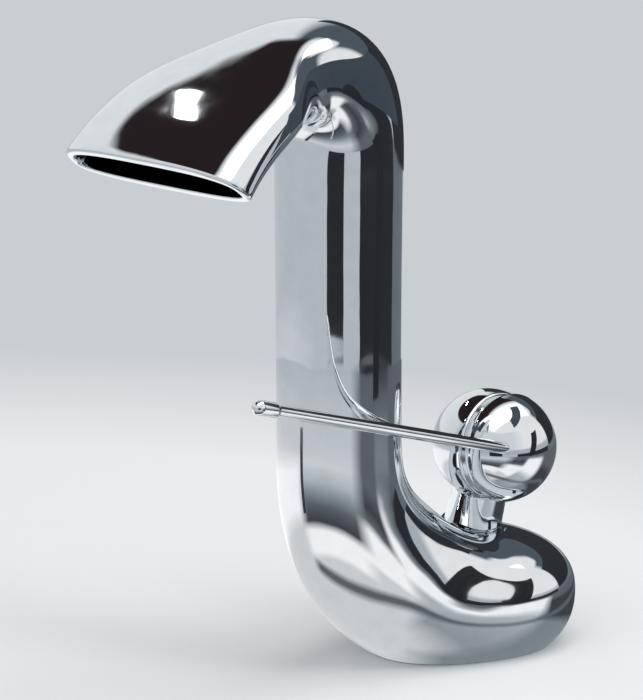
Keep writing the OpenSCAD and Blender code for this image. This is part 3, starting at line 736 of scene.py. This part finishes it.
# %% Handle cap
HUB_R = 7.4
HUB_H = 9.3
STEM_R = 3.0
STEM_END_H = 16.0
CAP_OUTER_END = 13.5
CAP_INNER_START = 14.0
CAP_INNER_END = 64.0
RIM_TRIM = 0.05
HOLE_GAP = 0.03
HOLE_MOUTH_GAP = 0.35
HOLE_R = LEVER_D / 2 + HOLE_GAP
HOLE_MOUTH_R = LEVER_D / 2 + HOLE_MOUTH_GAP
HOLE_STEP = 16.0
HOLE_STEP_END = 17.2
HOLE_END = 40.0


def cap_profile():
    inner_r = CAP_R - CAP_WALL
    rim_h = CAP_R * math.cos(CAP_RIM_ANGLE)
    rim_mid = (CAP_R - CAP_WALL / 2) * math.sin(math.acos(rim_h / (CAP_R - CAP_WALL / 2)))
    round_r = CAP_WALL / 2 - RIM_TRIM
    points = [(0.0, CAP_R)] + arc(0.0, 0.0, CAP_R, 90, CAP_OUTER_END, 70)[1:]
    points += arc(rim_mid, rim_h + round_r, round_r, 0, -180, 10)
    points += arc(0.0, 0.0, inner_r, CAP_INNER_START, CAP_INNER_END, 30)
    hub_top = math.sqrt(inner_r ** 2 - HUB_R ** 2)
    points += [(HUB_R, hub_top), (HUB_R, HUB_H), (STEM_R + FIT_GAP, HUB_H),
               (STEM_R + FIT_GAP, STEM_END_H), (0.0, STEM_END_H)]
    return points


cap = lathe("handle_cap_dome", cap_profile(), AT_HANDLE, chrome, 160)
drill = lathe("cut_lever_hole", [(0, 0), (HOLE_R, 0), (HOLE_R, HOLE_STEP), (HOLE_MOUTH_R, HOLE_STEP_END),
                                 (HOLE_MOUTH_R, HOLE_END), (0, HOLE_END)], AT_LEVER, chrome, 64)
cut_with(cap, drill)
finish_shape(cap)

# %% [markdown]
# ## Pin lever
# The lever is a plain 4 mm rod. Near its end it swells through a short flare into a thicker grip with
# a round end. It starts at the flank of the stem, inside the hub.

# %% Pin lever
TIP_R = 2.6
TIP_LEN = 11.0
TIP_FLARE = 1.8
TIP_NECK = 0.4
STEM_CLEARANCE = 0.05
LEVER_START = (STEM_R + LEVER_D / 2 * math.sin(HALF_TRAVEL)) / math.cos(HALF_TRAVEL) + STEM_CLEARANCE
TIP_START = LEVER_LENGTH - TIP_LEN
ROD_R = LEVER_D / 2
lever_profile = [(0.0, LEVER_START), (ROD_R, LEVER_START), (ROD_R, TIP_START - TIP_NECK)]
lever_profile += [(ROD_R + (TIP_R - ROD_R) * (1 - math.cos(math.pi * k / 8)) / 2,
                   TIP_START + TIP_FLARE * k / 8) for k in range(9)]
lever_profile += arc(0.0, LEVER_LENGTH - TIP_R, TIP_R, 0, 90, 12)[:-1] + [(0.0, LEVER_LENGTH)]
lever = lathe("lever_rod", lever_profile, AT_LEVER, chrome, 64)
finish_shape(lever)

# %% [markdown]
# ## Threads with Geometry Nodes
# A thread is a ridge on a spiral path, so it is grown by rule: a small four-cornered profile is swept
# along a spiral curve, and the half of it that stands out of the metal is the ridge. Named inputs
# give radius, pitch, length and depth. The same tree makes the M8 stud and the M10 ports of the
# manifold.


# %% Thread tree
def thread_tree():
    tree = bpy.data.node_groups.new("thread_ridge", "GeometryNodeTree")
    sockets = {}
    for label, default in (("Radius", 4.0), ("Pitch", 1.25), ("Length", 10.0), ("Depth", 0.5)):
        item = tree.interface.new_socket(label, in_out="INPUT", socket_type="NodeSocketFloat")
        item.default_value = default
        sockets[label] = item.identifier
    finish = tree.interface.new_socket("Finish", in_out="INPUT", socket_type="NodeSocketMaterial")
    sockets["Finish"] = finish.identifier
    tree.interface.new_socket("Geometry", in_out="OUTPUT", socket_type="NodeSocketGeometry")
    inputs = add_node(tree, "NodeGroupInput").outputs
    turns = add_node(tree, "ShaderNodeMath", {"operation": "DIVIDE"},
                     links={0: inputs["Length"], 1: inputs["Pitch"]})
    spiral = add_node(tree, "GeometryNodeCurveSpiral", values={"Resolution": 32},
                      links={"Rotations": turns.outputs[0], "Start Radius": inputs["Radius"],
                             "End Radius": inputs["Radius"], "Height": inputs["Length"]})
    ridge = add_node(tree, "GeometryNodeCurvePrimitiveCircle", {"mode": "RADIUS"}, {"Resolution": 4},
                     {"Radius": inputs["Depth"]})
    swept = add_node(tree, "GeometryNodeCurveToMesh", values={"Fill Caps": True},
                     links={"Curve": spiral.outputs["Curve"], "Profile Curve": ridge.outputs["Curve"]})
    real = add_node(tree, "GeometryNodeRealizeInstances", links={"Geometry": swept.outputs["Mesh"]})
    dressed = add_node(tree, "GeometryNodeSetMaterial",
                       links={"Geometry": real.outputs["Geometry"], "Material": inputs["Finish"]})
    add_node(tree, "NodeGroupOutput", links={"Geometry": dressed.outputs["Geometry"]})
    return tree, sockets


THREAD, THREAD_SOCKETS = thread_tree()


def thread(name, radius, pitch, length, depth, frame_matrix, material):
    carrier = bpy.data.objects.new(name, bpy.data.meshes.new(name))
    bpy.context.scene.collection.objects.link(carrier)
    grow = carrier.modifiers.new("thread", "NODES")
    grow.node_group = THREAD
    sizes = {"Radius": radius * MM, "Pitch": pitch * MM, "Length": length * MM, "Depth": depth * MM}
    for label, value in sizes.items():
        grow[THREAD_SOCKETS[label]] = value
    grow[THREAD_SOCKETS["Finish"]] = material
    bpy.context.view_layer.update()
    mesh = bpy.data.meshes.new_from_object(carrier.evaluated_get(bpy.context.evaluated_depsgraph_get()))
    carrier.modifiers.clear()
    carrier.data = mesh
    placed = frame_matrix.copy()
    placed.translation = frame_matrix.translation * MM
    mesh.transform(placed)
    print(name, "faces", len(mesh.polygons))
    return carrier


# %% [markdown]
# ## Stud and threaded ports
# The stud is a plain turned core with chamfered ends, and the thread grows on it. The two ports are
# threaded holes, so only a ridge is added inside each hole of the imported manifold.

# %% Stud and ports
STUD_X = 9.0
STUD_DROP = 62.0
STUD_TOP = 8.5
STUD_ROOT_R = 3.45
STUD_CHAMFER = 0.5
STUD_PITCH = 1.25
STUD_THREAD_R = 3.72
STUD_RIDGE = 0.26
THREAD_SHORT = 0.8
AT_STUD = Matrix.Translation((STUD_X, 0, 0))
stud_core = lathe("stud_core", [(0.0, -STUD_DROP), (STUD_ROOT_R - STUD_CHAMFER, -STUD_DROP),
                                (STUD_ROOT_R, -STUD_DROP + STUD_CHAMFER),
                                (STUD_ROOT_R, STUD_TOP - STUD_CHAMFER),
                                (STUD_ROOT_R - STUD_CHAMFER, STUD_TOP), (0.0, STUD_TOP)],
                  AT_STUD, zinc, 64)
finish_shape(stud_core)
stud_thread = thread("stud_thread", STUD_THREAD_R, STUD_PITCH, STUD_DROP + STUD_TOP - 2 * THREAD_SHORT,
                     STUD_RIDGE, AT_STUD @ Matrix.Translation((0, 0, -STUD_DROP + THREAD_SHORT)), zinc)
PORT_X = -7.0
PORT_Y = 7.5
PORT_R = 4.5
PORT_PITCH = 1.0
PORT_THREAD_LENGTH = 6.0
PORT_RIDGE = 0.3
PORT_THREAD_Z = 0.6
port_threads = [thread(label, PORT_R - FIT_GAP, PORT_PITCH, PORT_THREAD_LENGTH, PORT_RIDGE,
                       Matrix.Translation((PORT_X, side * PORT_Y, PORT_THREAD_Z)), brass)
                for label, side in (("hot_port_thread", -1), ("cold_port_thread", 1))]

# %% [markdown]
# ## Floor
# Chrome only shows what stands round it, so half of its look is made here. The floor is a plain pale
# disc that keeps the soft shadow and fades into the background colour at its rim. It has no gloss of
# its own.

# %% Floor
BACKGROUND = "#c9ced3"
FLOOR_R = 0.46
FLOOR_FADE = 0.28
FLOOR_RIM = 0.02
FLOOR_CENTRE = Vector((-130, -137, -0.05)) * MM
DISC_CORNERS = 96


def flat_disc(name, radius, material, place):
    corners = [(math.cos(a) * radius / MM, math.sin(a) * radius / MM, 0)
               for a in (2 * math.pi * k / DISC_CORNERS for k in range(DISC_CORNERS))]
    disc = mesh_from(name, corners, [tuple(range(DISC_CORNERS))], material)
    disc.location = place
    return disc


floor_material, tree, surface, place = new_material("pale_floor", "#e9ebed", 0.6, Specular_IOR_Level=0.0)
reach = add_node(tree, "ShaderNodeVectorMath", {"operation": "LENGTH"}, links={0: place}).outputs["Value"]
fade = add_node(tree, "ShaderNodeMapRange", links={"Value": reach},
                values={"From Min": FLOOR_FADE, "From Max": FLOOR_R - FLOOR_RIM}).outputs["Result"]
far = add_node(tree, "ShaderNodeEmission", values={"Color": linear(BACKGROUND), "Strength": 1.0})
mix = add_node(tree, "ShaderNodeMixShader",
               links={0: fade, 1: surface.outputs["BSDF"], 2: far.outputs["Emission"]})
tree.links.new(mix.outputs["Shader"], tree.nodes["Material Output"].inputs["Surface"])
floor = flat_disc("floor", FLOOR_R, floor_material, FLOOR_CENTRE)
print("floor", round(2 * FLOOR_R, 2), "m across")

# %% [markdown]
# ## Cards for the reflections
# A photographer of chrome stands dark cards round the piece, just out of the picture, and the metal
# draws them as its dark edges and streaks. Each card here is a strip between two edges. Most stand as
# parts of a cylinder round the column, given by radius, compass angles and heights, and one lies on
# the floor. The last is placed by the direction in which the foot sees it. Only reflections show the
# cards, so they need not stay out of the picture.

# %% Dark cards
CARD_STEPS = 24
ON_FLOOR = 0.4
CARD_COLOURS = {"dark": "#2a2e34", "grey": "#4c565f", "pale": "#7b848a"}
CARDS = {name: new_material(name + "_card", colour, 0.9)[0] for name, colour in CARD_COLOURS.items()}
STANDING = [("board_far_right", 700, -8, 66, -112, 25, "dark"),
            ("board_far_edge", 700, 66, 112, -112, 25, "pale"),
            ("board_tall_right", 700, 68, 131, 25, 450, "dark"),
            ("board_crest", 115, 22, 78, 165, 255, "grey"),
            ("board_front", 450, -66, -37, 8, 200, "dark")]
STREAK = ("mat_streak", 120, 360, -120, -114)
LOOK_FROM = Vector((25, -36, 33))
NECK_CARD_AWAY = 400
NECK_CARD = [[(14, -8), (20, -8), (27, -8)], [(32, 30), (40, 30), (48, 30)]]


def toward(azimuth, elevation):
    a, e = math.radians(azimuth), math.radians(elevation)
    return Vector((math.cos(a) * math.cos(e), math.sin(a) * math.cos(e), math.sin(e)))


def round_column(radius_mm, start_deg, end_deg, z):
    angles = [math.radians(start_deg + (end_deg - start_deg) * k / CARD_STEPS) for k in range(CARD_STEPS + 1)]
    return [(radius_mm * math.cos(a), -COLUMN_OFFSET + radius_mm * math.sin(a), z) for a in angles]


def only_in_reflections(piece):
    piece.visible_camera = piece.visible_diffuse = piece.visible_shadow = False


def set_card(name, low_edge, high_edge, card):
    count = len(low_edge)
    faces = [(k, k + 1, k + count + 1, k + count) for k in range(count - 1)]
    only_in_reflections(mesh_from(name, low_edge + high_edge, faces, card))


for name, radius, start, end, low, high, tone in STANDING:
    set_card(name, round_column(radius, start, end, low), round_column(radius, start, end, high), CARDS[tone])
name, inner, outer, start, end = STREAK
streak_edges = [round_column(radius, start, end, ON_FLOOR) for radius in (outer, inner)]
set_card(name, streak_edges[0], streak_edges[1], CARDS["dark"])
neck_edges = [[LOOK_FROM + NECK_CARD_AWAY * toward(az, el) for az, el in side] for side in NECK_CARD]
set_card("board_neck", neck_edges[0], neck_edges[1], CARDS["dark"])
print("cards set:", len(STANDING) + 2)

# %% [markdown]
# ## Painted reflection of the floor
# The heel and foot mostly mirror the floor, and the tones on them run softly into each other. So a
# glowing disc of painted reflection, with painted light and painted shade in soft tones, lies just over
# the floor. Five colour ramps run out from under the column, one for each compass sector, and blend
# into each other by bearing.

# %% Painted reflection tones
# tones of the painted reflection, from painted shade (dark) to painted highlight (white)
TONE = {"dark": "#40444a", "dim": "#60666b", "grey": "#818a8e", "mid": "#969c9f", "soft": "#b5bcc0",
        "pale": "#d5d7d9", "white": "#ffffff"}
PAINTED_REFLECTION_R = 0.46
# painted reflection ramps by compass sector: start and end bearing in degrees, then tone stops by mm from the
# centre
PAINTED_REFLECTION_RAMPS = [
    (-128, -112, [(0, "pale"), (95, "pale"), (130, "white"), (260, "white"), (330, "pale"), (460, "soft")]),
    (-25, -5, [(0, "pale"), (50, "pale"), (58, "white"), (88, "white"), (104, "dark"), (145, "dim"),
               (175, "grey"), (230, "soft"), (300, "pale"), (460, "soft")]),
    (18, 25, [(0, "pale"), (50, "pale"), (72, "pale"), (82, "white"), (145, "white"), (175, "dim"),
              (220, "dark"), (300, "dim"), (460, "dim")]),
    (50, 58, [(0, "pale"), (25, "pale"), (45, "mid"), (105, "soft"), (135, "white"), (260, "white"),
              (330, "grey"), (460, "dark")]),
    (120, 140, [(0, "pale"), (20, "pale"), (36, "grey"), (95, "grey"), (108, "dark"), (170, "dark"),
                (210, "dim"), (460, "dim")])]
ARC_CENTRE = Vector((-38.5, 61.5, 0)) * MM
ARC_R = 0.1015
ARC_CORE = 0.002
ARC_SOFT = 0.009
ARC_MIDDLE_X = 0.02
ARC_HALF_WIDTH = 0.038
ARC_END = 0.05
GLOW = 1.15

# painted reflection: this disc glows without being a lamp, and only the metal's reflections show it
painted_reflection, tree, _, place = new_material("painted_reflection_disc", TONE["pale"], 1.0)
reach = add_node(tree, "ShaderNodeVectorMath", {"operation": "LENGTH"}, links={0: place}).outputs["Value"]
share = add_node(tree, "ShaderNodeMath", {"operation": "DIVIDE"}, {1: PAINTED_REFLECTION_R}, {0: reach}).outputs[0]
split = add_node(tree, "ShaderNodeSeparateXYZ", links={"Vector": place}).outputs
bearing = add_node(tree, "ShaderNodeMath", {"operation": "ARCTAN2"},
                   links={0: split["Y"], 1: split["X"]}).outputs[0]
sectors = [add_node(tree, "ShaderNodeValToRGB", links={"Fac": share},
                    stops=[(mm * MM / PAINTED_REFLECTION_R, TONE[tone]) for mm, tone in tones]).outputs["Color"]
           for _, _, tones in PAINTED_REFLECTION_RAMPS]
blended = sectors[0]
for number, (start, end, _) in enumerate(PAINTED_REFLECTION_RAMPS):
    turned = add_node(tree, "ShaderNodeMapRange", links={"Value": bearing}, values={
        "From Min": math.radians(start), "From Max": math.radians(end)}).outputs["Result"]
    blended = add_node(tree, "ShaderNodeMix", {"data_type": "RGBA"}, links={
        0: turned, 6: blended, 7: sectors[(number + 1) % len(sectors)]}).outputs[2]
print("painted reflection tones in", len(PAINTED_REFLECTION_RAMPS), "sectors")

# %% [markdown]
# ## Painted dark line in the heel's reflection
# The heel also mirrors a thin dark line, a painted reflection drawn on the same disc as an arc with soft
# edges that fades out at both ends. The disc glows by itself, and only reflections show it.

# %% Thin arc on the tones
from_centre = add_node(tree, "ShaderNodeVectorMath", {"operation": "DISTANCE"}, {1: ARC_CENTRE},
                       {0: place}).outputs["Value"]
offset = add_node(tree, "ShaderNodeMath", {"operation": "SUBTRACT"}, {1: ARC_R}, {0: from_centre}).outputs[0]
nearness = add_node(tree, "ShaderNodeMath", {"operation": "ABSOLUTE"}, links={0: offset}).outputs[0]
line = add_node(tree, "ShaderNodeMapRange", links={"Value": nearness}, values={
    "From Min": ARC_CORE, "From Max": ARC_SOFT, "To Min": 1.0, "To Max": 0.0}).outputs["Result"]
aside = add_node(tree, "ShaderNodeMath", {"operation": "SUBTRACT"}, {1: ARC_MIDDLE_X},
                 {0: split["X"]}).outputs[0]
sideways = add_node(tree, "ShaderNodeMath", {"operation": "ABSOLUTE"}, links={0: aside}).outputs[0]
in_front = add_node(tree, "ShaderNodeMapRange", links={"Value": sideways}, values={
    "From Min": ARC_HALF_WIDTH, "From Max": ARC_END, "To Min": 1.0, "To Max": 0.0}).outputs["Result"]
drawn = add_node(tree, "ShaderNodeMath", {"operation": "MULTIPLY"}, links={0: line, 1: in_front}).outputs[0]
# painted dark line mixed into the painted reflection tones
with_arc = add_node(tree, "ShaderNodeMix", {"data_type": "RGBA"}, {7: linear(TONE["dim"])},
                    {0: drawn, 6: blended}).outputs[2]
glow = add_node(tree, "ShaderNodeEmission", values={"Strength": GLOW}, links={"Color": with_arc})
tree.links.new(glow.outputs["Emission"], tree.nodes["Material Output"].inputs["Surface"])
# the glowing disc of painted reflection, hidden from the camera, diffuse light and shadows
only_in_reflections(flat_disc("painted_reflection_disc", PAINTED_REFLECTION_R, painted_reflection, Vector((0, -COLUMN_OFFSET, ON_FLOOR / 2)) * MM))
print("arc radius", round(ARC_R / MM), "mm")

# %% [markdown]
# ## Room drawn by direction
# The rest of the room is the world, the same for every ray. By compass angle its sides are pale,
# bright toward the handle side and dark straight behind. By height there is the background colour
# below, a skirting tone at the horizon, and then the sides.

# %% Sides of the room
WALLS = [(-180, "#f4f6f8"), (-130, "#e6eaed"), (-20, "#e6eaed"), (6, "#ffffff"), (66, "#ffffff"),
         (74, "#566069"), (122, "#566069"), (133, "#f4f6f8"), (180, "#f4f6f8")]
SKIRTING = "#bcc2c8"
SKIRTING_RISE = (-0.10, -0.06)
WALL_RISE = (0.04, 0.10)

world = bpy.data.worlds.new("quiet_room")
bpy.context.scene.world = world
world.use_nodes = True
tree = world.node_tree
direction = add_node(tree, "ShaderNodeTexCoord").outputs["Generated"]
split = add_node(tree, "ShaderNodeSeparateXYZ", links={"Vector": direction}).outputs
angle = add_node(tree, "ShaderNodeMath", {"operation": "ARCTAN2"},
                 links={0: split["Y"], 1: split["X"]}).outputs[0]
around_room = add_node(tree, "ShaderNodeMapRange", values={"From Min": -math.pi, "From Max": math.pi},
                       links={"Value": angle}).outputs["Result"]
upper_walls = add_node(tree, "ShaderNodeValToRGB", links={"Fac": around_room},
                       stops=[((degrees + 180) / 360, colour) for degrees, colour in WALLS]).outputs["Color"]
walls, skirting = [add_node(tree, "ShaderNodeRGB").outputs["Color"] for _ in range(2)]
walls.default_value = linear(BACKGROUND)
skirting.default_value = linear(SKIRTING)
for higher, (start, end) in ((skirting, SKIRTING_RISE), (upper_walls, WALL_RISE)):
    risen = add_node(tree, "ShaderNodeMapRange", values={"From Min": start, "From Max": end},
                     links={"Value": split["Z"]}).outputs["Result"]
    walls = add_node(tree, "ShaderNodeMix", {"data_type": "RGBA"},
                     links={0: risen, 6: walls, 7: higher}).outputs[2]
print("room sides drawn with", len(WALLS), "stops")

# %% [markdown]
# ## Ceiling
# The ceiling is part of the same world, and the crest and the top of the spout mirror it. It is dark
# on the side away from the handle, bright on the handle side, and stops short at the back.

# %% Ceiling of the room
CEILING_DARK = "#2c2326"
CEILING_BRIGHT = "#ffffff"
CEILING_RISE = (0.63, 0.66)
CEILING_SPLIT = (-0.25, -0.17)
CEILING_BACK = (0.70, 0.74)
CEILING_SKEW = -0.44
to_handle = add_node(tree, "ShaderNodeMapRange", links={"Value": split["X"]}, values={
    "From Min": CEILING_SPLIT[0], "From Max": CEILING_SPLIT[1]}).outputs["Result"]
ceiling = add_node(tree, "ShaderNodeValToRGB", links={"Fac": to_handle},
                   stops=[(0.0, CEILING_DARK), (1.0, CEILING_BRIGHT)]).outputs["Color"]
skewed = add_node(tree, "ShaderNodeMath", {"operation": "MULTIPLY_ADD"}, {1: CEILING_SKEW},
                  {0: split["X"], 2: split["Y"]}).outputs[0]
overhead = add_node(tree, "ShaderNodeMapRange", links={"Value": split["Z"]}, values={
    "From Min": CEILING_RISE[0], "From Max": CEILING_RISE[1]}).outputs["Result"]
not_behind = add_node(tree, "ShaderNodeMapRange", links={"Value": skewed}, values={
    "From Min": CEILING_BACK[0], "From Max": CEILING_BACK[1], "To Min": 1.0, "To Max": 0.0}).outputs["Result"]
covered = add_node(tree, "ShaderNodeMath", {"operation": "MULTIPLY"},
                   links={0: overhead, 1: not_behind}).outputs[0]
room = add_node(tree, "ShaderNodeMix", {"data_type": "RGBA"},
                links={0: covered, 6: walls, 7: ceiling}).outputs[2]
tree.links.new(room, tree.nodes["Background"].inputs["Color"])
print("ceiling from a height of", CEILING_RISE[0])

# %% [markdown]
# ## Lamps
# Two large soft boxes light the floor and the duller pieces at a plain level. The metal mirrors the
# one overhead and not the one at the side. The third is small: it makes the white glint on top of the
# spout.


# %% Lamps
def soft_box(name, azimuth, elevation, distance, width, tall, watts, aim=(0, -60, 100), roll=0.0):
    data = bpy.data.lights.new(name, "AREA")
    data.shape = "RECTANGLE"
    data.size = width
    data.size_y = tall
    data.energy = watts
    lamp = bpy.data.objects.new(name, data)
    bpy.context.scene.collection.objects.link(lamp)
    away = toward(azimuth, elevation)
    facing = away.to_track_quat("Z", "Y") @ Quaternion((0, 0, 1), math.radians(roll))
    lamp.location = Vector(aim) * MM + away * distance
    lamp.rotation_euler = facing.to_euler()
    lamp.visible_camera = False
    return lamp


soft_box("overhead", azimuth=0, elevation=80, distance=1.4, width=2.6, tall=0.8, watts=7.0)
side_box = soft_box("window_side", azimuth=10, elevation=38, distance=1.5, width=0.5, tall=0.7, watts=4.5)
side_box.visible_glossy = False
soft_box("ceiling_lamp", azimuth=168, elevation=45, distance=1.6, width=0.28, tall=0.036, watts=0.8,
         aim=(2, -134, 200), roll=27)
print("lamps set")

# %% [markdown]
# ## Bodies
# Each dressed piece takes the place of its imported piece and rides on the same body, so the handle
# tips and turns as the joints say.

# %% Ride, replace and finish
PIECES = [(spout, "faucet", "chrome", ["spout_body"]), (ball, "faucet", "chrome", ["valve_housing"]),
          (neck, "faucet", "chrome", []), (collar, "faucet", "chrome", ["neck_collar"]),
          (nut, "faucet", "chrome", ["retaining_nut"]), (cap, "handle", "chrome", ["handle_cap"]),
          (lever, "handle", "chrome", ["lever_pin"]), (stud_core, "faucet", "steel", ["fixing_stud"]),
          (stud_thread, "faucet", "steel", [])]
PIECES += [(piece, "faucet", "brass", []) for piece in port_threads]
drawn_again = {node_name for piece in PIECES for node_name in piece[3]}
bodies = frame["record"]["behaviour"]["bodies"]
body_of = {node_name: body for body, names in bodies.items() for node_name in names}


def rounded_copy(node_name):
    packed = frame["nodes"][node_name]
    mesh = packed.data.copy()
    mesh.transform(packed.matrix_world)
    piece = bpy.data.objects.new(node_name + "_finished", mesh)
    bpy.context.scene.collection.objects.link(piece)
    face_outward(piece)
    smooth_by_angle(piece)
    return piece


for node_name in sorted(set(frame["nodes"]) - drawn_again):
    PIECES.append((rounded_copy(node_name), body_of[node_name], slot_of[node_name], [node_name]))
print("pieces dressed:", len(PIECES))
for piece, body, slot_name, replaced in PIECES:
    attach(piece, body)
    if replaced:
        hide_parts(*replaced)
